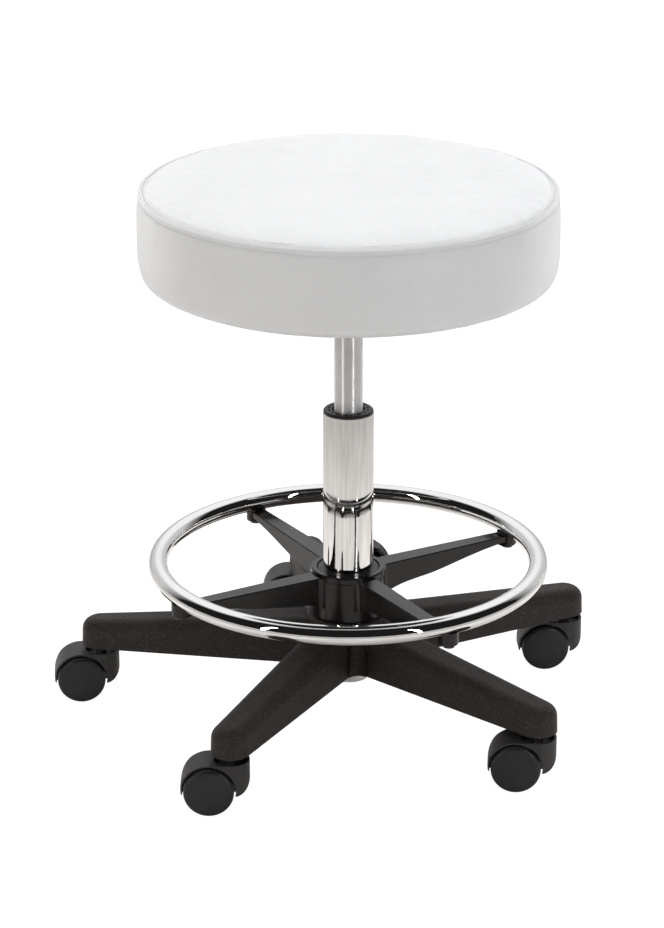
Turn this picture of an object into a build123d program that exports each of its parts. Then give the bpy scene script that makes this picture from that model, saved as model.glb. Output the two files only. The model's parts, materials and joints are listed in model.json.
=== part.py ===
from build123d import *
import os
from math import cos, radians, sin

# Height-adjustable salon stool: padded round seat on a gas lift, chrome foot ring
# and a five-arm base on twin-wheel castors.
# Millimetres. Origin on the column's axis at floor level, +Z up, +X along the height lever.

# ---- driving dimensions ----
RUN = 0.05                     # radial clearance of a running fit
GAP = 0.3                      # clearance between bodies that only pass each other

# castors
WHEEL_R = 24.2
WHEEL_INNER_Y = 7.4
WHEEL_OUTER_Y = 22.5
WHEEL_RIM_ROUND = 4.0
AXLE_R = 4.0
TRAIL = 20.5
HOOD_R = 27.3
HOOD_WALL = 1.6
HOOD_HALF_WIDTH = 17.6
HOOD_CORNER_R = 9.0
HOOD_BOTTOM = 19.5
BARREL_R = 18.3
BARREL_TOP = 51.2
STEM_R = 5.5
STEM_BOTTOM = 26.0
STEM_TOP = 79.0
SOCKET_R = 7.5

# base
ARM_COUNT = 5
FIRST_ARM_ANGLE = 65.5
STEM_CIRCLE_R = 253.4
TRAIL_ANGLES = [146.5, 150.0, 145.5, 142.5, 149.0]
ARM_BOTTOM = 57.5
ARM_TOP_AT_AXIS = 106.0
ARM_TOP_SLOPE = 0.08
ARM_TIP_R = 18.8
ARM_ROOT_R = 25.2
ARM_EDGE_ROUND = 12.0
ARM_WALL = 3.5
HUB_R = 41.0
CROTCH_ROUND = 10.0            # inside corner between two arms
HUB_BOTTOM = 54.0
HUB_TOP = 107.5

# column
COLUMN_R = 25.0
COLUMN_WALL = 2.0
COLUMN_TOP = 319.0
COLUMN_BOTTOM = 38.0
COLUMN_END_R = 22.0
END_PLATE_T = 3.0
BUSH_TOP = 322.0
BUSH_BOTTOM = 248.0
TUBE_R = 14.0
TUBE_WALL = 1.75
TUBE_BOTTOM = 137.0
TUBE_TOP = 436.0
ROD_R = 5.0

# foot ring
RING_R = 189.0
RING_TUBE_R = 9.5
RING_WALL = 1.5
RING_Z = 161.7
SPIDER_ARMS = 4
FIRST_SPIDER_ANGLE = -3.9
SPIDER_HUB_R = 36.0
SPIDER_BORE_R = 31.4
SPIDER_BOTTOM = 109.5
SPIDER_TOP = 153.5
COLLAR_R = 37.5
COLLAR_TOP = 156.3
BOSS_R = 10.0
BOSS_CIRCLE_R = 188.0
BOSS_BOTTOM = 141.5
SCREW_R = 3.0
KNOB_ANGLE = 41.1              # between two spider arms
KNOB_R = 29.5
KNOB_Z = 135.0
KNOB_NEAR = 46.0
KNOB_FAR = 62.0
STUD_R = 4.0

# seat
SEAT_R = 204.0
SOCKET_BOTTOM = 404.0
SEAT_BOTTOM = 457.5
SEAM_Z = 545.0
SEAT_TOP = 554.0
FLAT_TOP_R = 120.0
BAND_ROUND = 16.0
COVER_T = 1.2
BOARD_R = 187.5
BOARD_T = 12.0
FLANGE_HALF = 80.0
PAN_HALF = 48.0
PLATE_T = 2.5
PAN_BOTTOM = 430.0
BOLT_SPACING = 128.0
BOLT_R = 4.0

# height lever
PIVOT_X = 28.0
LEVER_Z = 444.0
LEVER_R = 4.0
GRIP_Z = 434.0
LEVER_END = 186.0
PIN_BOTTOM = 426.0

os.makedirs("parts", exist_ok=True)


def save(node, *solids):
    """Write one node: a single solid, or a group of equal fasteners."""
    shape = solids[0] if len(solids) == 1 else Compound(children=list(solids))
    export_step(shape, f"parts/{node}.step")


def rod(radius, bottom, top, x=0.0, y=0.0):
    """Upright cylinder between two heights."""
    return Pos(x, y, bottom) * Cylinder(
        radius, top - bottom, align=(Align.CENTER, Align.CENTER, Align.MIN)
    )


def ring(outer, inner, bottom, top):
    """Upright ring between two heights."""
    return rod(outer, bottom, top) - rod(inner, bottom - 1, top + 1)


def block(low, high):
    """Box from its lowest to its highest corner."""
    size = [b - a for a, b in zip(low, high)]
    return Pos(*low) * Box(*size, align=(Align.MIN, Align.MIN, Align.MIN))


def turned(points):
    """Solid of revolution about Z from (radius, height) points."""
    return revolve(Plane.XZ * make_face(Polyline(*points, close=True)), Axis.Z)


def cross_rod(radius, x, z, low_y, high_y):
    """Cylinder along Y between two side positions."""
    turn = Pos(x, low_y, z) * Rot(-90, 0, 0)
    return turn * Cylinder(radius, high_y - low_y, align=(Align.CENTER, Align.CENTER, Align.MIN))


def around(shape, count, first_angle):
    """Equal copies of a shape about Z."""
    return [Rot(0, 0, first_angle + i * 360 / count) * shape for i in range(count)]


# ---- five-arm base ----
def arm_plan(inset):
    """Outline of one arm seen from above, with its round tip."""
    root = CenterArc((0, 0), ARM_ROOT_R - inset, 0, 360)
    tip = CenterArc((STEM_CIRCLE_R, 0), ARM_TIP_R - inset, 0, 360)
    return make_hull([root, tip])


def arm_solid(inset, bottom, edge_round):
    """One arm with drafted sides and a sloping top; inset moves every wall inwards."""
    top = 120.0
    draft = (top - bottom) * 0.03
    arm = loft([Pos(0, 0, bottom) * arm_plan(inset), Pos(0, 0, top) * arm_plan(inset + draft)])
    near = -2 * ARM_ROOT_R
    far = STEM_CIRCLE_R + 2 * ARM_TIP_R
    heights = [ARM_TOP_AT_AXIS - inset - ARM_TOP_SLOPE * x for x in (far, near)]
    side = make_face(Polyline(
        (near, bottom), (far, bottom), (far, heights[0]), (near, heights[1]), close=True,
    ))
    arm = arm & extrude(Plane.XZ * side, 2 * ARM_ROOT_R, both=True)
    top_face = arm.faces().sort_by(Axis.Z)[-1]
    return fillet(top_face.edges(), edge_round)


def base_star():
    arm = arm_solid(0, ARM_BOTTOM, ARM_EDGE_ROUND)
    tip_boss = rod(13.0, ARM_BOTTOM - 3, ARM_BOTTOM + 4, STEM_CIRCLE_R)
    hub = turned([
        (0, HUB_BOTTOM), (HUB_R + 1.5, HUB_BOTTOM), (HUB_R, HUB_TOP - 2), (HUB_R - 2, HUB_TOP),
        (0, HUB_TOP),
    ])
    star = hub
    for piece in around(arm + tip_boss, ARM_COUNT, FIRST_ARM_ANGLE):
        star = star + piece

    half_step = radians(180 / ARM_COUNT)
    corner_r = ARM_ROOT_R / sin(half_step)
    round_r = corner_r + CROTCH_ROUND / sin(half_step)
    web_end = round_r - CROTCH_ROUND * sin(half_step)
    web_y = CROTCH_ROUND * cos(half_step)
    web_top = ARM_TOP_AT_AXIS - ARM_TOP_SLOPE * web_end - ARM_EDGE_ROUND
    web = block((HUB_R - 6, -web_y, ARM_BOTTOM), (web_end, web_y, web_top))
    web = web - rod(CROTCH_ROUND, 0, 200, round_r)
    for piece in around(web, ARM_COUNT, FIRST_ARM_ANGLE + 180 / ARM_COUNT):
        star = star + piece

    # hollow underside of each arm, with a spine, cross ribs and the stem boss left standing
    pocket = arm_solid(ARM_WALL, ARM_BOTTOM - 1, ARM_EDGE_ROUND - ARM_WALL)
    pocket = pocket - rod(HUB_R + 5, 0, 200) - rod(14.0, 0, 200, STEM_CIRCLE_R)
    pocket = pocket - block((0, -1.25, 0), (STEM_CIRCLE_R, 1.25, 200))
    for i in range(4):
        x = HUB_R + 45 + i * 40
        pocket = pocket - block((x, -40, 0), (x + 2.2, 40, 200))
    for piece in around(pocket, ARM_COUNT, FIRST_ARM_ANGLE):
        star = star - piece

    # ring groove under the hub, with spokes towards the arms
    groove = ring(HUB_R - 4, 32.0, HUB_BOTTOM - 1, HUB_TOP - 13)
    spoke = block((20, -1.5, 0), (HUB_R + 5, 1.5, 200))
    for piece in around(spoke, 2 * ARM_COUNT, FIRST_ARM_ANGLE):
        groove = groove - piece
    star = star - groove - rod(28.0, 0, 200)
    for hole in around(rod(SOCKET_R, 0, STEM_TOP + 2, STEM_CIRCLE_R), ARM_COUNT, FIRST_ARM_ANGLE):
        star = star - hole
    return star


def column_taper_r(z):
    """Radius of the column's tapered lower end at a height."""
    share = (z - COLUMN_BOTTOM) / (HUB_TOP - COLUMN_BOTTOM)
    return COLUMN_END_R + share * (COLUMN_R - COLUMN_END_R)


save("base_star", base_star())
save("hub_sleeve", turned([
    (28, HUB_BOTTOM), (28, HUB_TOP - 1.5),
    (column_taper_r(HUB_TOP - 1.5), HUB_TOP - 1.5), (column_taper_r(HUB_BOTTOM), HUB_BOTTOM),
]))
socket = rod(SOCKET_R, ARM_BOTTOM - 3, STEM_TOP + 2) - rod(STEM_R + RUN, 0, STEM_TOP + GAP)
save("stem_sockets", *around(Pos(STEM_CIRCLE_R, 0, 0) * socket, ARM_COUNT, FIRST_ARM_ANGLE))

# ---- column ----
inner_r = COLUMN_R - COLUMN_WALL
plate_r = COLUMN_END_R - COLUMN_WALL
column = turned([
    (inner_r, COLUMN_TOP), (COLUMN_R, COLUMN_TOP), (COLUMN_R, HUB_TOP),
    (COLUMN_END_R, COLUMN_BOTTOM + 1.5), (COLUMN_END_R - 1, COLUMN_BOTTOM),
    (plate_r, COLUMN_BOTTOM), (plate_r, COLUMN_BOTTOM + 12), (inner_r, HUB_TOP + 5),
])
save("column_tube", column)
plate_top = COLUMN_BOTTOM + END_PLATE_T
save("column_end_plate", ring(plate_r, ROD_R + 1.5, COLUMN_BOTTOM, plate_top))
bush = turned([
    (TUBE_R + RUN, BUSH_BOTTOM), (inner_r, BUSH_BOTTOM), (inner_r, COLUMN_TOP),
    (COLUMN_R - 0.3, COLUMN_TOP), (COLUMN_R - 0.3, BUSH_TOP - 1.2), (COLUMN_R - 1.5, BUSH_TOP),
    (TUBE_R + 2.4, BUSH_TOP), (TUBE_R + 1.6, BUSH_TOP - 2.5), (TUBE_R + RUN, BUSH_TOP - 2.5),
])
dash = block((18.2, -2.2, BUSH_TOP - 0.8), (20.2, 2.2, BUSH_TOP + 1))
for cut in around(dash, 16, 0):
    bush = bush - cut
save("guide_bush", bush)

# ---- piston, turning on the thrust bearing ----
BALL_R = 2.0
ball_z = plate_top + GAP + BALL_R
upper_washer_bottom = ball_z + BALL_R
upper_washer_top = upper_washer_bottom + 2
buffer_top = plate_top + 24
head_bottom = 224.0
head_top = 238.0
save("bearing_balls", *around(Pos(10.5, 0, ball_z) * Sphere(BALL_R), 14, 0))
save("bearing_washer_upper", ring(15.0, ROD_R, upper_washer_bottom, upper_washer_top))
save("rod_buffer", ring(12.0, ROD_R, upper_washer_top, buffer_top))
save("piston_rod", rod(ROD_R, COLUMN_BOTTOM - 5, head_bottom) + rod(3.0, head_bottom, head_top))
save("piston_head", ring(TUBE_R - TUBE_WALL - RUN, 3.0, head_bottom, head_top))
clip = ring(9.0, ROD_R, COLUMN_BOTTOM - GAP - 2.2, COLUMN_BOTTOM - GAP)
save("rod_clip", clip - block((0, -2.5, 0), (12, 2.5, COLUMN_BOTTOM)))

# ---- gas lift, upper part ----
tube_in = TUBE_R - TUBE_WALL
tube_top_r = TUBE_R - 0.9
tube = turned([
    (tube_in, TUBE_BOTTOM), (TUBE_R - 0.5, TUBE_BOTTOM), (TUBE_R, TUBE_BOTTOM + 0.8),
    (TUBE_R, SOCKET_BOTTOM), (tube_top_r, TUBE_TOP - 1), (tube_top_r - 1, TUBE_TOP),
    (8, TUBE_TOP), (8, TUBE_TOP - 2), (tube_in - 0.9, TUBE_TOP - 4), (tube_in, SOCKET_BOTTOM),
])
save("pressure_tube", tube)
save("rod_guide", ring(tube_in, ROD_R + RUN, TUBE_BOTTOM + 2, TUBE_BOTTOM + 24))
valve = turned([
    (3 + RUN, TUBE_TOP - 20), (tube_in - 0.6, TUBE_TOP - 20), (tube_in - 0.9, TUBE_TOP - 4.1), (7.9, TUBE_TOP - 2.1),
    (7.9, TUBE_TOP), (3 + RUN, TUBE_TOP),
])
save("valve_body", valve)
pin_top = LEVER_Z - 1.75 - GAP
save("release_pin", rod(3.0, PIN_BOTTOM, pin_top - 1) + rod(2.4, pin_top - 1, pin_top))

# ---- seat plate with two ears for the lever ----
pan_top = SEAT_BOTTOM - 1.0


def rounded_square(half_side, corner_r):
    return RectangleRounded(2 * half_side, 2 * half_side, corner_r)


flange = Pos(0, 0, pan_top - PLATE_T) * extrude(rounded_square(FLANGE_HALF, 14), PLATE_T)
PAN_DRAFT = 8.0


def pan(inset):
    """Solid pan that widens towards the flange; inset moves it inwards and up."""
    low = Pos(0, 0, PAN_BOTTOM + inset) * rounded_square(PAN_HALF - inset, 12 - inset)
    high = Pos(0, 0, pan_top) * rounded_square(PAN_HALF + PAN_DRAFT - inset, 12 - inset)
    return loft([low, high])


pan_outer = pan(0)
pan_inner = pan(PLATE_T) + Pos(0, 0, pan_top - 0.5) * extrude(
    rounded_square(PAN_HALF + PAN_DRAFT - PLATE_T, 12 - PLATE_T), 2
)
seat_plate = (flange + pan_outer) - pan_inner
seat_plate = seat_plate - block(
    (PAN_HALF - 10, -7, LEVER_Z - 7), (PAN_HALF + 10, 7, LEVER_Z + 8)
)
seat_plate = seat_plate - rod(TUBE_R - 0.4, PAN_BOTTOM - 1, PAN_BOTTOM + 4)
for side in (-1, 1):
    ear_y = 10 * side
    ear = block((PIVOT_X - 7, ear_y - 1, PAN_BOTTOM + 1), (PIVOT_X + 7, ear_y + 1, LEVER_Z + 6))
    seat_plate = seat_plate + ear
seat_plate = seat_plate - cross_rod(2.5, PIVOT_X, LEVER_Z, -20, 20)
half = BOLT_SPACING / 2
BOLT_PLACES = [(sx * half, sy * half) for sx in (-1, 1) for sy in (-1, 1)]
for bx, by in BOLT_PLACES:
    seat_plate = seat_plate - rod(BOLT_R + 0.3, pan_top - 10, pan_top + 1, bx, by)
save("seat_plate", seat_plate)
save("taper_socket", turned([
    (TUBE_R, SOCKET_BOTTOM), (19.5, SOCKET_BOTTOM), (19.5, PAN_BOTTOM),
    (tube_top_r + 0.17, PAN_BOTTOM),
]))
save("lever_pivot_pin", cross_rod(2.5, PIVOT_X, LEVER_Z, -13, 13))

# ---- height lever ----
lever_path = FilletPolyline(
    (PIVOT_X - 4, 0, LEVER_Z), (PIVOT_X + 24, 0, LEVER_Z), (PIVOT_X + 54, 0, GRIP_Z),
    (LEVER_END, 0, GRIP_Z), radius=14,
)
lever_rod = sweep(Plane(lever_path @ 0, z_dir=lever_path % 0) * Circle(LEVER_R), lever_path)
tongue = block((-6, -7, LEVER_Z - 1.75), (PIVOT_X + 5, 7, LEVER_Z + 1.75))
tongue = fillet(tongue.edges().filter_by(Axis.Z).group_by(Axis.X)[0], 5)
lever_boss = cross_rod(6.0, PIVOT_X, LEVER_Z, -8.5, 8.5)
lever = (lever_rod + tongue + lever_boss) - cross_rod(2.5 + RUN, PIVOT_X, LEVER_Z, -20, 20)
save("height_lever", lever)
along_x = Rot(0, 90, 0)
grip = Pos(124, 0, GRIP_Z) * along_x * Cylinder(
    6.5, LEVER_END + 6 - 124, align=(Align.CENTER, Align.CENTER, Align.MIN)
)
grip = fillet(grip.edges(), 3.0)
grip = grip - Pos(120, 0, GRIP_Z) * along_x * Cylinder(
    LEVER_R, LEVER_END - 120, align=(Align.CENTER, Align.CENTER, Align.MIN)
)
save("lever_grip", grip)

# ---- seat: board, foam, cover ----
board_bottom = SEAT_BOTTOM + COVER_T
board_top = board_bottom + BOARD_T
tee_nut = ring(5.5, BOLT_R, board_bottom, board_top) + ring(10, BOLT_R, board_top - 1.5, board_top)
board = rod(BOARD_R, board_bottom, board_top)
for bx, by in BOLT_PLACES:
    board = board - rod(5.5, 0, 600, bx, by) - rod(10, board_top - 1.5, 600, bx, by)
save("seat_board", board)
save("seat_tee_nuts", *[Pos(bx, by, 0) * tee_nut for bx, by in BOLT_PLACES])
bolt = rod(BOLT_R, pan_top - PLATE_T, board_top - 1)
hex_head = Pos(0, 0, pan_top - PLATE_T - 5.3) * extrude(RegularPolygon(7.5, 6), 5.3)
save("seat_plate_bolts", *[Pos(bx, by, 0) * (bolt + hex_head) for bx, by in BOLT_PLACES])
cover_inner_r = 170.0
dust = rod(cover_inner_r + 4, pan_top, SEAT_BOTTOM)
for bx, by in BOLT_PLACES:
    dust = dust - rod(BOLT_R + 0.3, 0, 600, bx, by)
save("dust_cover", dust)


def seat_outline(inset, bottom):
    """Outside of the cushion, moved inwards, as a face in the XZ plane."""
    side_r = SEAT_R - inset
    round_r = BAND_ROUND - inset
    seam = SEAM_Z
    top = SEAT_TOP - inset
    seam_r = side_r - 3
    start = (0, bottom)
    corner = (side_r - round_r, bottom)
    crown = Spline(
        (seam_r, seam), (FLAT_TOP_R, top), tangents=[(-1, 0.22), (-1, 0)],
    )
    bend = ThreePointArc(
        corner,
        (side_r - round_r * (1 - sin(radians(45))), bottom + round_r * (1 - cos(radians(45)))),
        (side_r, bottom + round_r),
    )
    return make_face([
        Line(start, corner), bend, Line((side_r, bottom + round_r), (side_r, seam - 6)),
        Line((side_r, seam - 6), (seam_r, seam)), crown, Line((FLAT_TOP_R, top), (0, top)),
        Line((0, top), start),
    ])


outer_seat = revolve(Plane.XZ * seat_outline(0, SEAT_BOTTOM), Axis.Z)
inner_seat = revolve(Plane.XZ * seat_outline(COVER_T, SEAT_BOTTOM + COVER_T), Axis.Z)
save("seat_foam", inner_seat - rod(BOARD_R, 0, board_top))
cover = outer_seat - inner_seat - rod(cover_inner_r, 0, board_bottom)
save("seat_cover_top", cover & rod(300, SEAM_Z, 600))
save("seat_cover_band", cover & rod(300, 400, SEAM_Z))
welt_section = Pos(SEAT_R - 1.9, SEAM_Z) * RegularPolygon(1.2, 8) - seat_outline(0, SEAT_BOTTOM)
save("seat_welt", revolve(Plane.XZ * welt_section, Axis.Z))

# ---- foot ring ----
ring_tube = Torus(RING_R, RING_TUBE_R) - Torus(RING_R, RING_TUBE_R - RING_WALL)
save("foot_ring", Pos(0, 0, RING_Z) * ring_tube)


def out_rod(radius, near_r, far_r):
    """Cylinder that points away from the column, on the clamp knob's axis."""
    turn = Rot(0, 0, KNOB_ANGLE) * Pos(near_r, 0, KNOB_Z) * Rot(0, 90, 0)
    return turn * Cylinder(radius, far_r - near_r, align=(Align.CENTER, Align.CENTER, Align.MIN))


def clamp_knob():
    """Six-lobed knob, hollow towards the column, round its stud."""
    knob = out_rod(KNOB_R, KNOB_NEAR, KNOB_FAR)
    knob = fillet(knob.edges().filter_by(GeomType.CIRCLE), 3.0)
    for i in range(6):
        turn = Rot(0, 0, KNOB_ANGLE) * Pos(KNOB_NEAR - 1, 0, KNOB_Z) * Rot(60 * i + 30, 0, 0)
        scallop = Pos(0, 0, KNOB_R + 21) * Rot(0, 90, 0) * Cylinder(22.0, 40)
        knob = knob - turn * scallop
    knob = knob - (out_rod(KNOB_R - 6.5, KNOB_NEAR - 1, KNOB_FAR - 4) - out_rod(8.0, 0, KNOB_FAR))
    return knob - out_rod(STUD_R, 0, KNOB_FAR - 5)


def foot_spider():
    hub = Circle(SPIDER_HUB_R)
    root = SPIDER_HUB_R - 6
    arm = make_face(Polyline(
        (root, -10.5), (BOSS_CIRCLE_R, -7.5), (BOSS_CIRCLE_R, 7.5), (root, 10.5), close=True,
    ))
    plan = hub
    for piece in around(arm, SPIDER_ARMS, 0):
        plan = plan + piece
    corners = [v for v in plan.vertices() if abs(v.center().length - SPIDER_HUB_R) < 1.0]
    plan = fillet(corners, 9)
    body = Pos(0, 0, SPIDER_BOTTOM) * extrude(plan, SPIDER_TOP - SPIDER_BOTTOM)
    body = fillet(body.faces().sort_by(Axis.Z)[-1].edges(), 1.2)
    low = SPIDER_BOTTOM
    near = SPIDER_HUB_R + 0.5
    far = 230
    tip = (176, low + 37.2)
    under = make_face([
        Spline((near, low + 11.5), (59, low + 19.1), (92, low + 23), (122, low + 28.5), tip),
        Line(tip, (far, low + 40)), Line((far, low + 40), (far, low - 20)),
        Line((far, low - 20), (near, low - 20)), Line((near, low - 20), (near, low + 11.5)),
    ])
    body = body - revolve(Plane.XZ * under, Axis.Z)
    body = body + rod(COLLAR_R - 1.5, SPIDER_BOTTOM, COLLAR_TOP - 4)
    collar = fillet(rod(COLLAR_R, COLLAR_TOP - 7, COLLAR_TOP).edges(), 1.4)
    body = body + collar
    boss = fillet(rod(BOSS_R, BOSS_BOTTOM, RING_Z - 6, BOSS_CIRCLE_R).edges().sort_by(Axis.Z)[:1], 2)
    for piece in around(boss, SPIDER_ARMS, 0):
        body = body + piece
    body = body - Pos(0, 0, RING_Z) * Torus(RING_R, RING_TUBE_R)
    body = body - rod(RING_R + 30, COLLAR_TOP - 1, 300) - rod(SPIDER_BORE_R, 0, 300)
    body = body + ring(COLLAR_R - 1.4, SPIDER_BORE_R, COLLAR_TOP - 3, COLLAR_TOP)
    screw_hole = rod(SCREW_R, 0, 200, RING_R)
    for piece in around(screw_hole, SPIDER_ARMS, 0):
        body = body - piece
    body = Rot(0, 0, FIRST_SPIDER_ANGLE) * body
    stud_boss = out_rod(9.0, SPIDER_BORE_R + 1, KNOB_NEAR - 2.5)
    stud_hole = out_rod(STUD_R + RUN, 0, KNOB_NEAR)
    return body + (stud_boss - rod(SPIDER_BORE_R, 0, 300)) - stud_hole


save("foot_spider", foot_spider())
screw = rod(SCREW_R, BOSS_BOTTOM, RING_Z - RING_TUBE_R - 0.2) + rod(5.5, BOSS_BOTTOM - 2.6, BOSS_BOTTOM)
save("foot_ring_screws", *around(Pos(RING_R, 0, 0) * screw, SPIDER_ARMS, FIRST_SPIDER_ANGLE))
save("clamp_knob", clamp_knob())
save("clamp_stud", out_rod(STUD_R, SPIDER_BORE_R, KNOB_FAR - 5))
collet = turned([
    (COLUMN_R + RUN, SPIDER_BOTTOM + 1), (SPIDER_BORE_R - GAP - 1, SPIDER_BOTTOM + 1),
    (SPIDER_BORE_R - GAP, SPIDER_BOTTOM + 3), (SPIDER_BORE_R - GAP, COLLAR_TOP - 1.8),
    (SPIDER_BORE_R - GAP - 1, COLLAR_TOP - 0.8), (COLUMN_R + RUN, COLLAR_TOP - 0.8),
])
for cut in around(block((20, -0.8, 0), (40, 0.8, COLLAR_TOP - 14)), 6, 15):
    collet = collet - cut
save("foot_collet", collet)


# ---- castors ----
def caster_hood():
    """Solid hood over both wheels; the stem stands at the origin, the axle at -TRAIL."""
    rear = -TRAIL - HOOD_R
    corners = [(rear + HOOD_CORNER_R, HOOD_CORNER_R), (-TRAIL, HOOD_CORNER_R)]
    rounds = [
        CenterArc((x, side * (HOOD_HALF_WIDTH - r)), r, 0, 360)
        for x, r in corners for side in (-1, 1)
    ]
    plan = make_hull([CenterArc((0, 0), BARREL_R, 0, 360), *rounds])
    side_view = Pos(-TRAIL, WHEEL_R) * Circle(HOOD_R)
    front = make_face(Polyline(
        (-TRAIL, HOOD_BOTTOM), (BARREL_R, HOOD_BOTTOM), (BARREL_R, BARREL_TOP),
        (-TRAIL, BARREL_TOP), close=True,
    ))
    low_corner = front.vertices().sort_by(Axis.Y)[:2].sort_by(Axis.X)[-1:]
    side_view = side_view + fillet(low_corner, 13)
    below = Pos(rear - 5, -40) * Rectangle(100, 40 + HOOD_BOTTOM, align=(Align.MIN, Align.MIN))
    side_view = side_view - below
    return extrude(plan, 80) & extrude(Plane.XZ * side_view, 40, both=True)


def caster_parts():
    hood = caster_hood()
    recess = rod(BARREL_R - 2, BARREL_TOP - 5.5, 90)
    hood = hood - rod(BARREL_R, BARREL_TOP, 90) - recess
    web_half = WHEEL_INNER_Y - 0.5
    wells = cross_rod(HOOD_R - HOOD_WALL, -TRAIL, WHEEL_R, -40, 40)
    wells = wells - block((-80, -web_half, 0), (40, web_half, 90))
    web = block((-60, -web_half, 0), (0, web_half, 90))
    boss = rod(STEM_R + 2.5, 0, 90)
    hood = hood - wells - (rod(BARREL_R - 2, 0, BARREL_TOP - 8) - boss - web)
    axle_boss = cross_rod(8.0, -TRAIL, WHEEL_R, -web_half, web_half)
    stem_boss = rod(STEM_R + 2.5, STEM_BOTTOM - 3, BARREL_TOP - 6) - wells
    hood = hood + axle_boss + stem_boss
    hood = hood - rod(STEM_R, STEM_BOTTOM, 90) - cross_rod(AXLE_R, -TRAIL, WHEEL_R, -40, 40)
    stem = rod(STEM_R, STEM_BOTTOM, STEM_TOP)
    stem = chamfer(stem.edges().sort_by(Axis.Z)[-1:], 1.0)
    axle = cross_rod(AXLE_R, -TRAIL, WHEEL_R, 4 - WHEEL_OUTER_Y, WHEEL_OUTER_Y - 4)
    return hood, stem, axle


def wheel():
    """One wheel on the +Y side, plain outside, hollow towards the hood."""
    width = WHEEL_OUTER_Y - WHEEL_INNER_Y
    face_round = WHEEL_RIM_ROUND
    outline = make_face([
        Line((0, 0), (WHEEL_R - 1, 0)), Line((WHEEL_R - 1, 0), (WHEEL_R, 1)),
        Line((WHEEL_R, 1), (WHEEL_R, width - face_round - 0.8)),
        ThreePointArc(
            (WHEEL_R, width - face_round - 0.8),
            (WHEEL_R - face_round * 0.3, width - face_round * 0.3 - 0.8),
            (WHEEL_R - face_round, width - 0.8),
        ),
        Spline((WHEEL_R - face_round, width - 0.8), (0, width), tangents=[(-1, 0.09), (-1, 0)]),
        Line((0, width), (0, 0)),
    ])
    body = revolve(Plane.XZ * outline, Axis.Z)
    hollow = ring(WHEEL_R - 4, 7.0, -1, width - 5)
    for rib in around(block((5, -1, -2), (WHEEL_R, 1, width)), 6, 30):
        hollow = hollow - rib
    body = body - hollow - rod(AXLE_R + RUN, -1, width - 3.5)
    return Pos(-TRAIL, WHEEL_INNER_Y, WHEEL_R) * Rot(-90, 0, 0) * body


hood, stem, axle = caster_parts()
left_wheel = wheel()
right_wheel = mirror(left_wheel, Plane.XZ)
for i in range(ARM_COUNT):
    angle = radians(FIRST_ARM_ANGLE + i * 360 / ARM_COUNT)
    place = Pos(STEM_CIRCLE_R * cos(angle), STEM_CIRCLE_R * sin(angle), 0)
    place = place * Rot(0, 0, TRAIL_ANGLES[i] - 180)
    name = f"caster_{i + 1}"
    save(f"{name}_hood", place * hood)
    save(f"{name}_stem", place * stem)
    save(f"{name}_axle", place * axle)
    save(f"{name}_wheel_left", place * left_wheel)
    save(f"{name}_wheel_right", place * right_wheel)
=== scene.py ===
"""Looks of a salon stool: a sewn white cushion on a gas lift, a chrome foot ring and a castor base.

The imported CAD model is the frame. Lengths are in metres, in its coordinates: +Z up from the floor,
on the column's axis.
"""

import json
import math

import bpy
import numpy as np
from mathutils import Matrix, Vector


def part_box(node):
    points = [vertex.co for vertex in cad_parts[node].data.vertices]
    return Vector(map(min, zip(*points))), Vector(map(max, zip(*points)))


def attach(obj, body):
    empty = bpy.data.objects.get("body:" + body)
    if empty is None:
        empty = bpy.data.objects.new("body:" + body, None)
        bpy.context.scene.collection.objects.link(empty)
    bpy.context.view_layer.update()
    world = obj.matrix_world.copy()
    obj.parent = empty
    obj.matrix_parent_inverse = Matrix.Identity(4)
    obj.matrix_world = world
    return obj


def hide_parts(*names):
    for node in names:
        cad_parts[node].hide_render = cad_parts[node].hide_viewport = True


MM = 0.001
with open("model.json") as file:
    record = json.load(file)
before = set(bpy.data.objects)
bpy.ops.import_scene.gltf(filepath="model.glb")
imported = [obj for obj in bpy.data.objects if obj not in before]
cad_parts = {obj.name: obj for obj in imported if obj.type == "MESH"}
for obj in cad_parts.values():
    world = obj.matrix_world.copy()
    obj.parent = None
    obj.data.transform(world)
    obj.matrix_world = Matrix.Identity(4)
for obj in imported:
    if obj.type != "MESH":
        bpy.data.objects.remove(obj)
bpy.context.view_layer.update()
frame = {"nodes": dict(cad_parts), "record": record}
nodes = frame["nodes"]


# ---- node trees ----

MIX_FIRST, MIX_SECOND, MIX_RESULT = 6, 7, 2     # colour sockets of a Mix node


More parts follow.
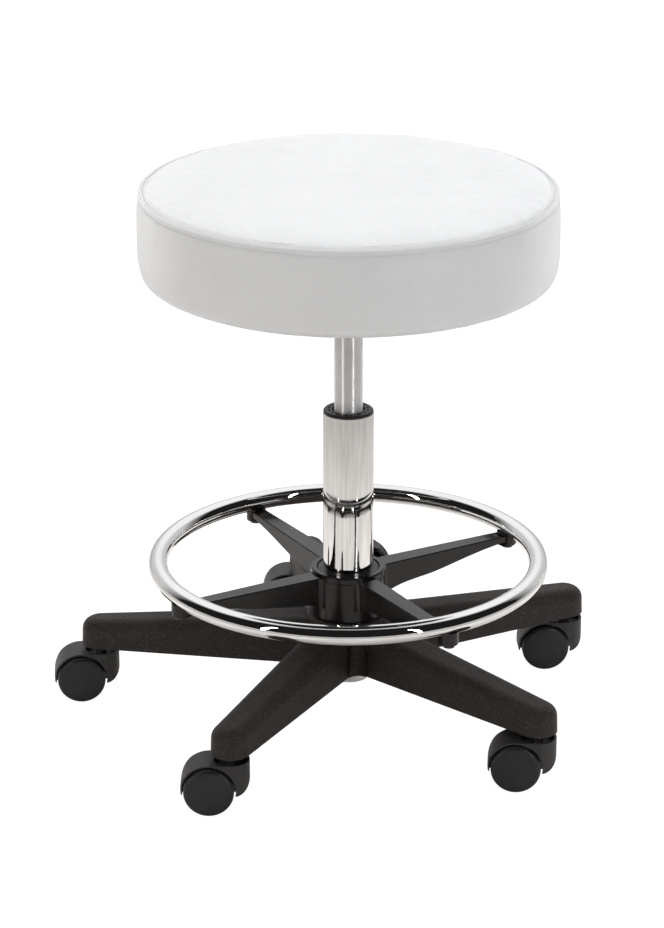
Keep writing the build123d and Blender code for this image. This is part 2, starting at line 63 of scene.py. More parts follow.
class Graph:
    """A node tree under construction, and the coordinates that its textures follow."""

    def __init__(self, tree, coordinates):
        self.tree = tree
        self.place = self.node("TexCoord").outputs[coordinates]

    def node(self, kind, **settings):
        made = self.tree.nodes.new("ShaderNode" + kind)
        for name, value in settings.items():
            setattr(made, name, value)
        return made

    def link(self, output, target):
        self.tree.links.new(output, target)

    def math(self, operation, first, second):
        node = self.node("Math", operation=operation)
        for socket, value in zip(node.inputs, (first, second)):
            if isinstance(value, (int, float)):
                socket.default_value = value
            else:
                self.link(value, socket)
        return node.outputs[0]

    def split(self, vector):
        """The X, Y and Z outputs of a vector."""
        node = self.node("SeparateXYZ")
        self.link(vector, node.inputs[0])
        return node.outputs

    def along(self, direction):
        """How far the coordinates reach along a direction."""
        node = self.node("VectorMath", operation="DOT_PRODUCT")
        self.link(self.place, node.inputs[0])
        node.inputs[1].default_value = direction
        return node.outputs["Value"]

    def noise(self, scale, detail=3.0, rough=0.55, place=None, distortion=0.0):
        node = self.node("TexNoise")
        node.inputs["Scale"].default_value = scale
        node.inputs["Detail"].default_value = detail
        node.inputs["Roughness"].default_value = rough
        node.inputs["Distortion"].default_value = distortion
        self.link(place or self.place, node.inputs["Vector"])
        return node.outputs["Fac"]

    def cells(self, scale, feature="F1"):
        node = self.node("TexVoronoi", feature=feature)
        node.inputs["Scale"].default_value = scale
        self.link(self.place, node.inputs["Vector"])
        return node.outputs["Distance"]

    def spread(self, value, low, high, to_low=0.0, to_high=1.0):
        """Value from low to high, carried over to the range from to_low to to_high."""
        node = self.node("MapRange")
        limits = (low, high, to_low, to_high)
        for socket, limit in zip(("From Min", "From Max", "To Min", "To Max"), limits):
            node.inputs[socket].default_value = limit
        self.link(value, node.inputs["Value"])
        return node.outputs["Result"]

    def mix(self, factor, first, second):
        """Colour between two colours, each of them a tuple or an output."""
        node = self.node("Mix", data_type="RGBA")
        self.link(factor, node.inputs["Factor"])
        for number, value in ((MIX_FIRST, first), (MIX_SECOND, second)):
            if isinstance(value, tuple):
                node.inputs[number].default_value = (*value, 1)
            else:
                self.link(value, node.inputs[number])
        return node.outputs[MIX_RESULT]


# ---- camera, floor and studio light ----

VIEW_TURN = math.radians(-34.217)     # of the camera about the column
VIEW_TILT = math.radians(69.47)       # of the camera, up from looking straight down
CAMERA_PLACE = (-1.8537, -2.6972, 1.4896)
LENS = 137.5                          # mm, as is the sensor's width
SENSOR_WIDTH = 36
LIGHT_TARGET = Vector((0, 0, 0.3))
FLOOR_R = 14
WHITE = (1, 1, 1)
FRONT_LIGHT = (0.012, 0.012, 0.012)
BACK_LIGHT = (0.62, 0.62, 0.63)
TOP_LEAN = math.radians(35)           # of the bright part of the sky, away from the camera

# name, degrees round from the camera's side, degrees up, metres away, width and height,
# radiance, tint, shown in reflections
SOFTBOXES = (
    ("key_left", -46, 16, 2.6, (0.14, 2.2), 16, (1.0, 0.98, 0.95), True),
    ("fill_right", 38, 14, 2.6, (0.11, 2.2), 24, (0.96, 0.98, 1.0), True),
    ("overhead", 180, 80, 2.6, (2.4, 2.4), 2.4, WHITE, False),
    ("rim_left", -132, 3, 2.6, (0.5, 1.0), 16, WHITE, False),
    ("rim_right", 134, 3, 2.6, (0.5, 1.0), 20, WHITE, False),
    ("fill_side_left", -80, 12, 3.0, (1.8, 1.8), 1.6, WHITE, False),
    ("fill_side_right", 80, 12, 3.0, (1.8, 1.8), 1.6, WHITE, False),
)


def add_camera():
    """Long lens, a little above the seat."""
    data = bpy.data.cameras.new("camera")
    data.lens = LENS
    data.sensor_width = SENSOR_WIDTH
    camera = bpy.data.objects.new("camera", data)
    camera.location = CAMERA_PLACE
    camera.rotation_euler = (VIEW_TILT, 0, VIEW_TURN)
    bpy.context.scene.collection.objects.link(camera)
    bpy.context.scene.camera = camera


def add_softbox(name, turn, elevation, distance, size, radiance, tint, mirrored):
    """Area light that faces the stool.

    A light that isn't mirrored brightens the pieces, but their reflections don't show it.
    """
    data = bpy.data.lights.new(name, "AREA")
    data.shape = "RECTANGLE"
    data.size, data.size_y = size
    data.energy = radiance * math.pi * size[0] * size[1]
    data.color = tint
    light = bpy.data.objects.new(name, data)
    light.visible_glossy = mirrored
    around = math.radians(turn) + VIEW_TURN
    up = math.radians(elevation)
    towards = Vector((
        math.sin(around) * math.cos(up), -math.cos(around) * math.cos(up), math.sin(up)
    ))
    light.location = LIGHT_TARGET + towards * distance
    light.rotation_euler = towards.to_track_quat("Z", "Y").to_euler()
    bpy.context.scene.collection.objects.link(light)


def add_world():
    """Bright overhead, pale grey behind the stool and dark on the camera's side.

    Only lighting and reflections use that. The camera itself sees plain white behind the stool.
    """
    world = bpy.data.worlds.new("studio")
    bpy.context.scene.world = world
    world.use_nodes = True
    world.node_tree.nodes.clear()
    graph = Graph(world.node_tree, "Generated")
    away_x, away_y = -math.sin(VIEW_TURN), math.cos(VIEW_TURN)
    lean = math.sin(TOP_LEAN)
    height = graph.along((away_x * lean, away_y * lean, math.cos(TOP_LEAN)))
    frontness = graph.spread(graph.along((-away_x, -away_y, 0)), -0.62, -0.30)
    around = graph.mix(frontness, BACK_LIGHT, FRONT_LIGHT)
    sky = graph.mix(graph.spread(height, 0.70, 0.86), around, WHITE)
    seen = graph.node("LightPath").outputs["Is Camera Ray"]
    background = graph.node("Background")
    graph.link(graph.mix(seen, sky, WHITE), background.inputs["Color"])
    graph.link(background.outputs[0], graph.node("OutputWorld").inputs["Surface"])


def add_disc(name, height):
    """Flat round stage piece, much larger than the stool."""
    count = 96
    rim = [
        (FLOOR_R * math.cos(math.tau * i / count), FLOOR_R * math.sin(math.tau * i / count), height)
        for i in range(count)
    ]
    mesh = bpy.data.meshes.new(name)
    mesh.from_pydata(rim, [], [list(range(count))])
    disc = bpy.data.objects.new(name, mesh)
    bpy.context.scene.collection.objects.link(disc)
    material = bpy.data.materials.new(name)
    material.use_nodes = True
    mesh.materials.append(material)
    return disc, material.node_tree


def add_paper():
    """The floor that the camera sees. It gives off most of its own light and nothing mirrors it."""
    paper, tree = add_disc("floor_paper", 0)
    looks = {
        "Base Color": (0.22, 0.22, 0.22, 1), "Roughness": 0.9, "Specular IOR Level": 0.0,
        "Emission Color": (*WHITE, 1), "Emission Strength": 0.95,
    }
    for socket, value in looks.items():
        tree.nodes["Principled BSDF"].inputs[socket].default_value = value
    paper.visible_glossy = False
    paper.visible_diffuse = False
    paper.visible_transmission = False
    paper.visible_shadow = False


def add_boards():
    """The floor that the chrome mirrors, pale and warm, with painted light and shade in its colour:
    lighter near the stool and darker away from it.

    The camera doesn't see it.
    """
    boards, tree = add_disc("floor_boards", -0.5 * MM)
    boards.visible_camera = False
    graph = Graph(tree, "Object")
    cloud = graph.spread(graph.noise(7, 4, 0.5), 0.35, 0.65)
    tone = graph.mix(cloud, (0.76, 0.73, 0.70), (0.94, 0.915, 0.89))
    distance = graph.node("VectorMath", operation="LENGTH")
    graph.link(graph.place, distance.inputs[0])
    shaded = graph.node("VectorMath", operation="SCALE")
    graph.link(tone, shaded.inputs[0])
    # Painted light and shade: full colour near the stool, darkened to 0.56 of it far from the stool.
    painted_light_falloff = graph.spread(distance.outputs["Value"], 0.42, 0.90, 1.0, 0.56)
    graph.link(painted_light_falloff, shaded.inputs["Scale"])
    shader = tree.nodes["Principled BSDF"]
    graph.link(shaded.outputs[0], shader.inputs["Base Color"])
    shader.inputs["Roughness"].default_value = 0.9


# ---- procedural finishes ----

class Finish(Graph):
    """One material under construction: a Principled shader and the nodes that vary it."""

    def __init__(self, name, roughness=0.5, metallic=0.0, specular=0.5, **values):
        self.material = bpy.data.materials.new(name)
        self.material.use_nodes = True
        super().__init__(self.material.node_tree, "Object")
        self.shader = self.tree.nodes["Principled BSDF"]
        self.set("Roughness", roughness)
        self.set("Metallic", metallic)
        self.set("Specular IOR Level", specular)
        for socket, value in values.items():
            self.set(socket.replace("_", " "), value)
        self.relief = None

    def set(self, socket, value):
        self.shader.inputs[socket].default_value = value

    def stretched(self, scales):
        """Object coordinates, scaled along each axis."""
        mapping = self.node("Mapping")
        mapping.inputs["Scale"].default_value = scales
        self.link(self.place, mapping.inputs["Vector"])
        return mapping.outputs["Vector"]

    def round_column(self, upwards, turns):
        """Coordinates on a tube round Z: angle times turns, and height times upwards."""
        axes = self.split(self.place)
        angle = self.math("ARCTAN2", axes["Y"], axes["X"])
        join = self.node("CombineXYZ")
        self.link(self.math("MULTIPLY", angle, turns), join.inputs["X"])
        self.link(self.math("MULTIPLY", axes["Z"], upwards), join.inputs["Y"])
        return join.outputs[0]

    def colour(self, value):
        self.link(value, self.shader.inputs["Base Color"])

    def roughness(self, value):
        self.link(value, self.shader.inputs["Roughness"])

    def bump(self, height, distance, strength=1.0):
        """Relief of that depth in metres, on top of any relief added before."""
        node = self.node("Bump")
        node.inputs["Distance"].default_value = distance
        node.inputs["Strength"].default_value = strength
        self.link(height, node.inputs["Height"])
        if self.relief is not None:
            self.link(self.relief, node.inputs["Normal"])
        self.relief = node.outputs["Normal"]
        self.link(self.relief, self.shader.inputs["Normal"])


def textured_nylon():
    """Glass-filled nylon with a spark-eroded grain, pale specks and light handling marks."""
    f = Finish("textured_nylon", specular=0.27)
    broad = f.noise(9, 4)
    grain = f.noise(620, 3, 0.6)
    base = f.mix(f.spread(broad, 0.3, 0.7), (0.0170, 0.0132, 0.0115), (0.0270, 0.0215, 0.0192))
    specks = f.spread(f.noise(950, 1, 0.5), 0.63, 0.74)
    rubbed = f.spread(f.noise(45, 5, 0.7), 0.60, 0.78, 0.0, 0.35)
    with_rubs = f.mix(rubbed, base, (0.045, 0.041, 0.038))
    f.colour(f.mix(specks, with_rubs, (0.12, 0.105, 0.10)))
    f.roughness(f.spread(broad, 0.3, 0.7, 0.48, 0.60))
    f.bump(grain, 0.0008, 0.9)
    return f.material


def polished_chrome():
    """Bright chrome plate with faint draw lines, soft waviness and a little haze."""
    f = Finish("polished_chrome", roughness=0.05, metallic=1.0)
    streaks = f.noise(1.0, 4, 0.6, f.round_column(9, 14), 0.3)
    haze = f.noise(26, 4, 0.6)
    f.colour(f.mix(f.spread(streaks, 0.35, 0.65), (0.80, 0.785, 0.77), (0.91, 0.905, 0.90)))
    f.roughness(f.spread(haze, 0.35, 0.75, 0.015, 0.055))
    f.bump(streaks, 0.00006, 0.5)
    return f.material


def foot_ring_chrome():
    """The same plate on the bent ring, worn dull where feet rub its upper side."""
    f = Finish("foot_ring_chrome", roughness=0.05, metallic=1.0)
    normal = f.node("NewGeometry").outputs["Normal"]
    upper = f.spread(f.split(normal)["Z"], 0.55, 0.95)
    scuffs = f.spread(f.noise(140, 5, 0.7, f.stretched((1, 1, 0.4))), 0.52, 0.70)
    haze = f.math("MULTIPLY", upper, scuffs)
    f.colour(f.mix(f.noise(18, 3), (0.84, 0.835, 0.83), (0.91, 0.91, 0.91)))
    f.roughness(f.spread(haze, 0.0, 1.0, 0.02, 0.14))
    f.bump(f.noise(16, 1, 0.4), 0.0004, 0.2)
    return f.material


def ground_steel():
    """Centreless-ground steel tube: fine rings round it, so highlights run along it.

    Its metallic value is well below real steel's, which only darkens it to the tone wanted.
    """
    f = Finish(
        "ground_steel", roughness=0.42, metallic=0.58, Anisotropic=0.95, Anisotropic_Rotation=0.25,
    )
    tangent = f.node("Tangent", direction_type="RADIAL", axis="Z")
    f.link(tangent.outputs[0], f.shader.inputs["Tangent"])
    rings = f.noise(1.0, 3, 0.6, f.stretched((20, 20, 5200)))
    film = f.noise(30, 4, 0.6)
    f.colour(f.mix(f.spread(film, 0.3, 0.7), (0.80, 0.79, 0.78), (0.90, 0.89, 0.88)))
    f.roughness(f.spread(rings, 0.3, 0.7, 0.36, 0.46))
    return f.material


def machined_steel(name, tone, roughness):
    """Turned or pressed bright steel with fine tool marks and a few dull patches."""
    f = Finish(name, roughness=roughness, metallic=1.0)
    marks = f.noise(1.0, 3, 0.6, f.stretched((60, 60, 2600)))
    patches = f.noise(60, 4, 0.6)
    dull_share = 0.72
    dark = tuple(dull_share * channel for channel in tone)
    f.colour(f.mix(f.spread(patches, 0.35, 0.7), dark, tone))
    f.roughness(f.spread(patches, 0.3, 0.7, roughness - 0.08, roughness + 0.10))
    f.bump(marks, 0.00003, 0.6)
    return f.material


def gloss_black():
    """Glossy moulded plastic with slight sink waviness, dust specks and hairline scratches."""
    f = Finish("gloss_black", specular=0.45)
    broad = f.noise(24, 3)
    f.colour(f.mix(
        f.spread(f.noise(1500, 1, 0.5), 0.70, 0.78),
        (0.0068, 0.0056, 0.0050), (0.09, 0.08, 0.075),
    ))
    f.roughness(f.spread(broad, 0.3, 0.7, 0.17, 0.27))
    f.bump(broad, 0.0003, 0.25)
    f.bump(f.noise(700, 2), 0.00008, 0.35)
    return f.material


def moulded_black(name, roughness, grain_scale, depth, tone=0.012, cool=1.0):
    """Fine-grained black plastic; cool above 1 turns it slightly blue."""
    f = Finish(name, specular=0.38)
    cloudy = f.noise(40, 4, 0.6)
    low = (tone * 0.85, tone * 0.83, tone * 0.82 * cool)
    high = (tone * 1.6, tone * 1.55, tone * 1.52 * cool)
    specks = f.spread(f.noise(1600, 1, 0.5), 0.70, 0.76, 0.0, 0.7)
    f.colour(f.mix(specks, f.mix(f.spread(cloudy, 0.3, 0.75), low, high), (0.10, 0.10, 0.10)))
    f.roughness(f.spread(cloudy, 0.3, 0.7, roughness - 0.06, roughness + 0.07))
    f.bump(f.noise(grain_scale, 2), depth, 0.6)
    return f.material


def powder_coat():
    """Satin black powder coat with its orange-peel surface."""
    f = Finish("powder_coat", specular=0.45)
    peel = f.noise(420, 2, 0.5)
    cloudy = f.spread(f.noise(35, 4), 0.3, 0.7)
    f.colour(f.mix(cloudy, (0.012, 0.012, 0.012), (0.022, 0.022, 0.022)))
    f.roughness(f.spread(peel, 0.3, 0.7, 0.34, 0.50))
    f.bump(peel, 0.00015, 0.5)
    return f.material


def soft_rubber():
    """Dull rubber with a dusty bloom."""
    f = Finish("soft_rubber", specular=0.25)
    bloom = f.noise(70, 5, 0.65)
    f.colour(f.mix(f.spread(bloom, 0.4, 0.75), (0.010, 0.010, 0.010), (0.040, 0.040, 0.039)))
    f.roughness(f.spread(bloom, 0.3, 0.7, 0.70, 0.88))
    f.bump(f.noise(600, 2), 0.0001, 0.6)
    return f.material


def birch_plywood():
    """Birch plies at the edge and straight grain on the faces."""
    f = Finish("birch_plywood", specular=0.25)
    board_thickness, plies = 12 * MM, 7
    ply = board_thickness / plies
    layer = f.math("PINGPONG", f.split(f.place)["Z"], ply)
    across = f.spread(layer, 0.3 * ply, 0.7 * ply)
    grain = f.noise(1.0, 5, 0.6, f.stretched((14, 320, 320)), 0.4)
    wood = f.mix(f.spread(grain, 0.35, 0.65), (0.42, 0.27, 0.14), (0.60, 0.43, 0.26))
    f.colour(f.mix(f.math("MULTIPLY", across, 0.45), wood, (0.28, 0.17, 0.09)))
    f.roughness(f.spread(grain, 0.3, 0.7, 0.62, 0.80))
    f.bump(grain, 0.0002, 0.5)
    return f.material


def white_vinyl():
    """Upholstery vinyl: calf-like pebble grain, soft sheen and barely uneven white."""
    f = Finish("white_vinyl", specular=0.42, Sheen_Weight=0.30, Sheen_Roughness=0.3)
    pebbles = f.cells(400, "SMOOTH_F1")
    creases = f.noise(260, 4, 0.62)
    cloud = f.noise(14, 4, 0.6)
    f.colour(f.mix(f.spread(cloud, 0.35, 0.65), (0.800, 0.804, 0.811), (0.836, 0.840, 0.846)))
    f.roughness(f.spread(creases, 0.3, 0.7, 0.40, 0.54))
    f.bump(creases, 0.0010, 0.6)
    f.bump(pebbles, 0.0007, 0.6)
    return f.material


def sewing_thread():
    """Twisted polyester thread."""
    f = Finish("sewing_thread", specular=0.3, Sheen_Weight=0.2)
    twist = f.noise(2600, 2, 0.5)
    f.colour(f.mix(twist, (0.70, 0.70, 0.69), (0.86, 0.86, 0.85)))
    f.roughness(f.spread(twist, 0.3, 0.7, 0.55, 0.75))
    f.bump(twist, 0.0001, 0.6)
    return f.material


def spunbond_cloth():
    """Black non-woven dust cloth: short bonded fibres and a dotted emboss."""
    f = Finish("spunbond_cloth", specular=0.2, Sheen_Weight=0.25)
    fibres = f.noise(1.0, 4, 0.7, f.stretched((1500, 260, 900)), 1.2)
    crossing = f.noise(1.0, 4, 0.7, f.stretched((260, 1500, 900)), 1.2)
    tangle = f.math("MAXIMUM", fibres, crossing)
    dots = f.spread(f.cells(520), 0.12, 0.30)
    f.colour(f.mix(f.spread(tangle, 0.45, 0.75), (0.008, 0.008, 0.008), (0.045, 0.045, 0.045)))
    f.roughness(f.spread(tangle, 0.4, 0.7, 0.75, 0.92))
    f.bump(tangle, 0.0003, 0.6)
    f.bump(dots, 0.0002, 0.5)
    return f.material


FINISHES = {
    "nylon_textured": textured_nylon(),
    "steel_plain": machined_steel("plain_steel", (0.60, 0.59, 0.58), 0.30),
    "zinc_plate": machined_steel("zinc_plated_steel", (0.70, 0.70, 0.68), 0.32),
    "bolt_steel": machined_steel("bolt_zinc", (0.56, 0.56, 0.56), 0.34),
    "piston_alloy": machined_steel("turned_alloy", (0.74, 0.74, 0.74), 0.28),
    "chrome_polished": polished_chrome(),
    "tube_steel": ground_steel(),
    "bush_plastic": moulded_black("bush_plastic", 0.34, 900, 0.00008),
    "grip_plastic": moulded_black("grip_plastic", 0.30, 700, 0.0002),
    "clip_black": moulded_black("clip_black_oxide", 0.40, 1200, 0.00005),
    "caster_hood": moulded_black("caster_hood_plastic", 0.46, 1100, 0.00018, 0.022),
    "caster_wheel": moulded_black("caster_wheel_plastic", 0.38, 1100, 0.00008, 0.0105, 1.18),
    "buffer_rubber": soft_rubber(),
    "powder_coat": powder_coat(),
    "spider_plastic": gloss_black(),
    "plywood": birch_plywood(),
    "white_vinyl": white_vinyl(),
    "dust_fabric": spunbond_cloth(),
}
RING_CHROME = foot_ring_chrome()
THREAD = sewing_thread()
VINYL = FINISHES["white_vinyl"]


def paint_cad_nodes():
    """Every CAD node takes the finish of its slot in the record, but the hidden foam has none."""
    slots = {part["node"]: part["material_slot"] for part in frame["record"]["subparts"]}
    for name, node in nodes.items():
        finish = FINISHES.get(slots[name])
        if name == "foot_ring":
            finish = RING_CHROME
        if finish is not None:
            node.data.materials.clear()
            node.data.materials.append(finish)


# ---- meshes ----

def piece(name, verts, faces, finish, body="seat"):
    """New smooth mesh piece that rides on a body."""
    mesh = bpy.data.meshes.new(name)
    mesh.from_pydata([tuple(v) for v in verts], [], faces)
    mesh.update()
    mesh.materials.append(finish)
    mesh.polygons.foreach_set("use_smooth", [True] * len(mesh.polygons))
    made = bpy.data.objects.new(name, mesh)
    bpy.context.scene.collection.objects.link(made)
    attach(made, body)
    return made


def turned_faces(rows, columns, first):
    """Quads between rings of points, closed round the axis; first is ring 0's first point."""
    faces = []
    for j in range(rows - 1):
        for i in range(columns):
            a = first + j * columns + i
            b = first + j * columns + (i + 1) % columns
            faces.append((a, a + columns, b + columns, b))
    return faces


# ---- seat cushion ----

SEAT_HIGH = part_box("seat_cover_top")[1].z
SEAT_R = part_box("seat_cover_band")[1].x
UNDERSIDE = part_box("seat_cover_band")[0].z
SEAM_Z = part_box("seat_cover_top")[0].z
SKIN_COLUMNS = 720            # points round the finished cushion
SKIN_STEPS = 4                # rings between two points of its profile
SIM_COLUMNS, SIM_ROWS, SIM_FRAMES = 240, 84, 22
CLOTH_SETTINGS = {
    "quality": 6, "mass": 0.4, "tension_stiffness": 25, "compression_stiffness": 12,
    "shear_stiffness": 8, "bending_stiffness": 0.4, "vertex_group_mass": "held",
    "use_pressure": True, "uniform_pressure_force": 4, "shrink_min": -0.012,
}
CREASE_SHARE = 0.28           # of the cloth's creases that a tightly sewn cover keeps
CREASE_LIMIT = 0.7 * MM
OUTWARD_LIMIT = 2 * MM        # beyond the CAD band's side


def from_seam(*points):
    """Points given as millimetres in from the seat's side and up from its seam."""
    return [(SEAT_R - inwards * MM, SEAM_Z + up * MM) for inwards, up in points]


def cushion_profile():
    """(radius, height) from the middle of the top, over the sewn edge, to the fold underneath."""
    crown = [
        (0, SEAT_HIGH), (60 * MM, SEAT_HIGH), (118 * MM, SEAT_HIGH - 0.2 * MM),
        (150 * MM, SEAT_HIGH - 0.7 * MM), (170 * MM, SEAT_HIGH - 1.8 * MM),
    ]
    shoulder = from_seam((19, 5.4), (11.5, 3.0))
    seam = from_seam(
        (7.6, 0.8), (6.3, -1.3), (5.8, -1.5), (5.2, 0.3), (4.4, 1.1), (3.7, 0.3), (3.3, -0.4),
        (2.7, 0.4), (2.0, 0.1), (1.6, -1.3), (1.5, -3.4), (1.9, -4.4), (2.6, -5.1), (2.0, -6.2),
    )
    band = from_seam((1.1, -12), (0.3, -26), (0.2, -50), (0.8, -66))
    fold = [
        (SEAT_R - 4.0 * MM, UNDERSIDE + 8 * MM), (SEAT_R - 10 * MM, UNDERSIDE + 2.6 * MM),
        (SEAT_R - 19 * MM, UNDERSIDE), (171 * MM, UNDERSIDE + 0.1 * MM),
        (170 * MM, UNDERSIDE + 1.1 * MM), (172 * MM, UNDERSIDE + 1.4 * MM),
    ]
    return np.array(crown + shoulder + seam + band + fold)


def smooth_line(points, steps):
    """Smooth line through the points, with the same number of steps between each two of them."""
    gaps = np.sqrt(np.linalg.norm(np.diff(points, axis=0), axis=1))
    knots = np.concatenate([[0], np.cumsum(gaps)])
    slopes = np.gradient(points, knots, axis=0)
    line = []
    for k in range(len(points) - 1):
        width = knots[k + 1] - knots[k]
        for t in np.arange(steps) / steps:
            h00 = 2 * t**3 - 3 * t**2 + 1
            h10 = t**3 - 2 * t**2 + t
            line.append(
                h00 * points[k] + h10 * width * slopes[k]
                + (1 - h00) * points[k + 1] + (t**3 - t**2) * width * slopes[k + 1]
            )
    line.append(points[-1])
    return np.array(line)


def path_lengths(line):
    """Distance along the line from its start to each of its points."""
    steps = np.linalg.norm(np.diff(line, axis=0), axis=1)
    return np.concatenate([[0], np.cumsum(steps)])


def seam_index(radius, height):
    """Which of these points lies closest to the seam."""
    return int(np.argmin(np.abs(radius - (SEAT_R - 3 * MM)) + np.abs(height - SEAM_Z)))


def simulate_cover(line):
    """Inflates the cover as cloth that is held at its seam and at its turned-under edge.

    Returns the path lengths of its rings and, for each ring and angle, the creases outwards and
    upwards.
    """
    columns, rows = SIM_COLUMNS, SIM_ROWS
    length = path_lengths(line)
    at = np.linspace(length[-1] * 0.06, length[-1], rows)
    radius = np.interp(at, length, line[:, 0])
    height = np.interp(at, length, line[:, 1])
    angle = np.arange(columns) * math.tau / columns
    verts = [
        (r * math.cos(a), r * math.sin(a), z) for r, z in zip(radius, height) for a in angle
    ]
    mesh = bpy.data.meshes.new("cover_sim")
    faces = turned_faces(rows, columns, 0)
    faces.append(tuple(range(columns)))
    mesh.from_pydata(verts, [], faces)
    cover = bpy.data.objects.new("cover_sim", mesh)
    bpy.context.scene.collection.objects.link(cover)
    held = cover.vertex_groups.new(name="held")
    for row in (seam_index(radius, height), rows - 1, rows - 2):
        held.add([row * columns + i for i in range(columns)], 1.0, "REPLACE")
    cloth = cover.modifiers.new("cloth", "CLOTH")
    for name, value in CLOTH_SETTINGS.items():
        setattr(cloth.settings, name, value)
    cloth.settings.effector_weights.gravity = 0
    cloth.point_cache.frame_start = 1
    cloth.point_cache.frame_end = SIM_FRAMES
    scene = bpy.context.scene
    for step in range(1, SIM_FRAMES + 1):
        scene.frame_set(step)
    graph = bpy.context.evaluated_depsgraph_get()
    settled = cover.evaluated_get(graph)
    after = np.array([v.co for v in settled.data.vertices]).reshape(rows, columns, 3)
    before = np.array(verts).reshape(rows, columns, 3)
    bpy.data.objects.remove(cover)
    scene.frame_set(1)
    moved = after - before
    outwards = moved[..., 0] * np.cos(angle) + moved[..., 1] * np.sin(angle)
    return at, drawn_tight(outwards), drawn_tight(moved[..., 2])


def drawn_tight(moved):
    """The cloth's creases alone, without its swelling, flattened as on a tightly sewn cover."""
    creases = CREASE_SHARE * (moved - moved.mean(axis=1, keepdims=True))
    return CREASE_LIMIT * np.tanh(creases / CREASE_LIMIT)


def wavy(angle, seed, waves, size):
    """Smooth random waviness round the seat."""
    chance = np.random.default_rng(seed)
    total = np.zeros_like(angle)
    for wave in waves:
        strength = chance.normal()
        start = chance.uniform(0, math.tau)
        total += strength * np.sin(wave * angle + start) / math.sqrt(len(waves))
    return size * total


def resample(field, at_rows, columns, wanted_s):
    """Field on the coarse cloth, read at the fine mesh's rings and angles."""
    coarse = field.shape[1]
    fine_angle = np.arange(columns) * coarse / columns
    left = np.floor(fine_angle).astype(int) % coarse
    share = fine_angle - np.floor(fine_angle)
    smooth = share * share * (3 - 2 * share)
    row = np.interp(wanted_s, at_rows, np.arange(len(at_rows)))
    low = np.floor(row).astype(int).clip(0, len(at_rows) - 2)
    part = (row - low)[:, None]
    level = field[low] * (1 - part) + field[low + 1] * part
    return level[:, left] * (1 - smooth) + level[:, (left + 1) % coarse] * smooth


def add_cushion():
    """Foam-filled cover: crowned top panel, sewn edge and side band in one closed skin."""
    columns = SKIN_COLUMNS
    line = smooth_line(cushion_profile(), SKIN_STEPS)
    length = path_lengths(line)
    angle = np.arange(columns) * math.tau / columns
    out = np.zeros((len(line), columns))
    up = np.zeros((len(line), columns))
    at, creased_out, creased_up = simulate_cover(line)
    out += resample(creased_out, at, columns, length)
    up += resample(creased_up, at, columns, length)
    seam_at = length[seam_index(line[:, 0], line[:, 1])]
    off_seam = np.abs(length - seam_at)
    puckered = np.exp(-((off_seam - 16 * MM) / (11 * MM)) ** 2)[:, None]
    loose = np.clip(off_seam / (12 * MM), 0, 1)[:, None]
    off_centre = np.clip(line[:, 0] / (130 * MM), 0, 1)[:, None]
    keep = loose * np.clip((length[-1] - length) / (80 * MM), 0, 1)[:, None]
    out *= keep
    up *= keep * off_centre
    puckers = wavy(angle, 5, range(38, 96, 3), 0.16 * MM)
    puckers = puckers + wavy(angle, 8, range(9, 30, 2), 0.28 * MM)
    panel = (length < seam_at)[:, None]
    up += puckered * puckers * panel
    out += puckered * puckers * 0.5 * ~panel
    out += wavy(angle, 11, range(2, 9), 0.25 * MM) * keep
    radius = np.minimum(line[:, :1] + out, SEAT_R + OUTWARD_LIMIT)
    height = line[:, 1:] + up
    x = radius * np.cos(angle)
    y = radius * np.sin(angle)
    rings = np.stack([x, y, height], axis=-1)[1:].reshape(-1, 3)
    verts = [(0, 0, float(height[0].mean())), *map(tuple, rings)]
    rows = len(line) - 1
    faces = [(0, 1 + i, 1 + (i + 1) % columns) for i in range(columns)]
    faces += turned_faces(rows, columns, 1)
    last = 1 + (rows - 1) * columns
    faces.append(tuple(last + i for i in range(columns)))
    cushion = piece("seat_cushion", verts, faces, VINYL)
    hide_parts("seat_foam", "seat_cover_top", "seat_cover_band", "seat_welt")


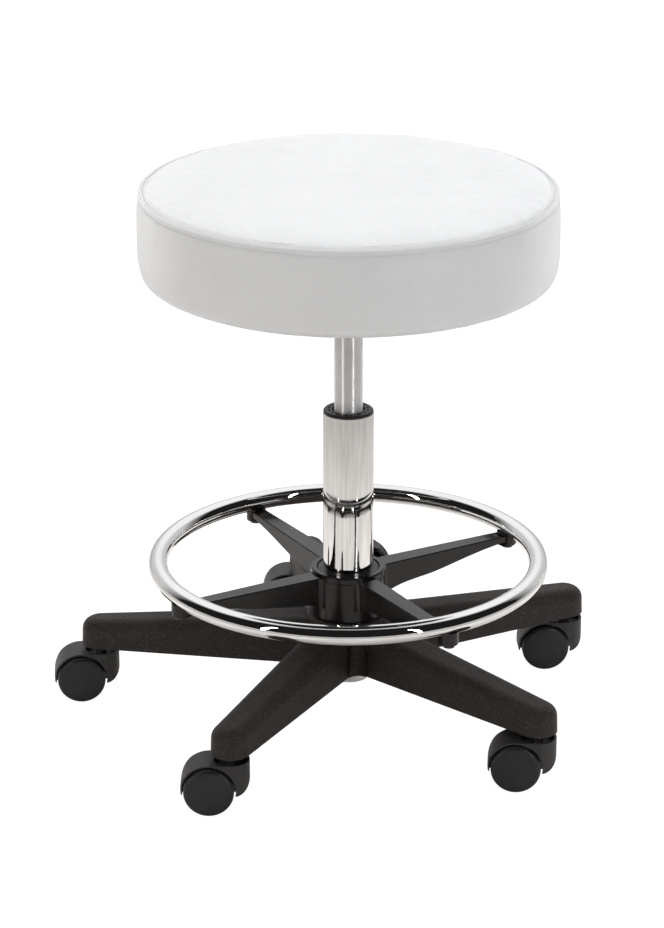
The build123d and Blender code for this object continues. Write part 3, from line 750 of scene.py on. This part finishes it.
def add_stitches(name, radius, height, lean, count):
    """A ring of short lockstitches, tipped by lean degrees from flat (0) to upright (90)."""
    sides = 8
    stitch = 0.72 * math.tau * radius / count
    thick = 0.42 * MM
    shape = [(-0.5, 0.15), (-0.42, 0.7), (-0.2, 1.0), (0.2, 1.0), (0.42, 0.7), (0.5, 0.15)]
    rows = len(shape)
    tilt = math.radians(lean)
    outward = Vector((math.cos(math.pi / 2 - tilt), 0, math.sin(math.pi / 2 - tilt)))
    inward = Vector((-outward.z, 0, outward.x))
    verts, faces = [], []
    for k in range(count):
        turn = math.tau * k / count
        first = len(verts)
        for along, girth in shape:
            sink = -0.5 * thick * (2 * along) ** 4
            y = along * stitch
            for j in range(sides):
                a = math.tau * j / sides
                off_surface = math.cos(a) * girth * thick + sink
                side = outward * off_surface + inward * (math.sin(a) * girth * thick)
                x = radius + side.x
                verts.append((
                    x * math.cos(turn) - y * math.sin(turn),
                    x * math.sin(turn) + y * math.cos(turn),
                    height + side.z,
                ))
        faces += [tuple(reversed(face)) for face in turned_faces(rows, sides, first)]
        faces.append(tuple(first + j for j in range(sides)))
        faces.append(tuple(first + (rows - 1) * sides + j for j in reversed(range(sides))))
    piece(name, verts, faces, THREAD)


def add_dust_cloth():
    """Thin black cloth stapled under the board, slack between its staples."""
    low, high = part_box("dust_cover")
    radius = high.x
    columns, rows = 240, 60
    staples = 20
    angle = np.arange(columns) * math.tau / columns
    depth = 0.9 * MM
    verts = [(0, 0, low.z + 0.2 * MM)]
    for r in np.linspace(radius / rows, radius, rows):
        edge = (r / radius) ** 10
        sag = depth * (1 - edge) * (0.5 + 0.5 * math.cos(math.pi * min(1, r / radius)))
        scallop = edge * 0.35 * MM * np.abs(np.sin(staples * angle / 2))
        fold = 0.25 * MM * np.sin(staples * angle) * (r / radius) ** 4 * (1 - edge)
        level = low.z + 0.7 * MM - sag * 0.5 + fold
        verts += [
            ((r - s) * math.cos(a), (r - s) * math.sin(a), z)
            for a, s, z in zip(angle, scallop, level)
        ]
    faces = [(0, 1 + (i + 1) % columns, 1 + i) for i in range(columns)]
    faces += [tuple(reversed(face)) for face in turned_faces(rows, columns, 1)]
    cloth = piece("dust_cloth", verts, faces, FINISHES["dust_fabric"])
    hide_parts("dust_cover")


def main():
    bpy.context.scene.view_settings.view_transform = "Standard"
    add_camera()
    add_world()
    add_paper()
    add_boards()
    for softbox in SOFTBOXES:
        add_softbox(*softbox)
    paint_cad_nodes()
    add_cushion()
    add_stitches("topstitch_band", SEAT_R - 2.3 * MM, SEAM_Z - 5.1 * MM, 90, 400)
    add_stitches("topstitch_panel", SEAT_R - 9.6 * MM, SEAM_Z + 2.1 * MM, 28, 380)
    add_dust_cloth()


main()
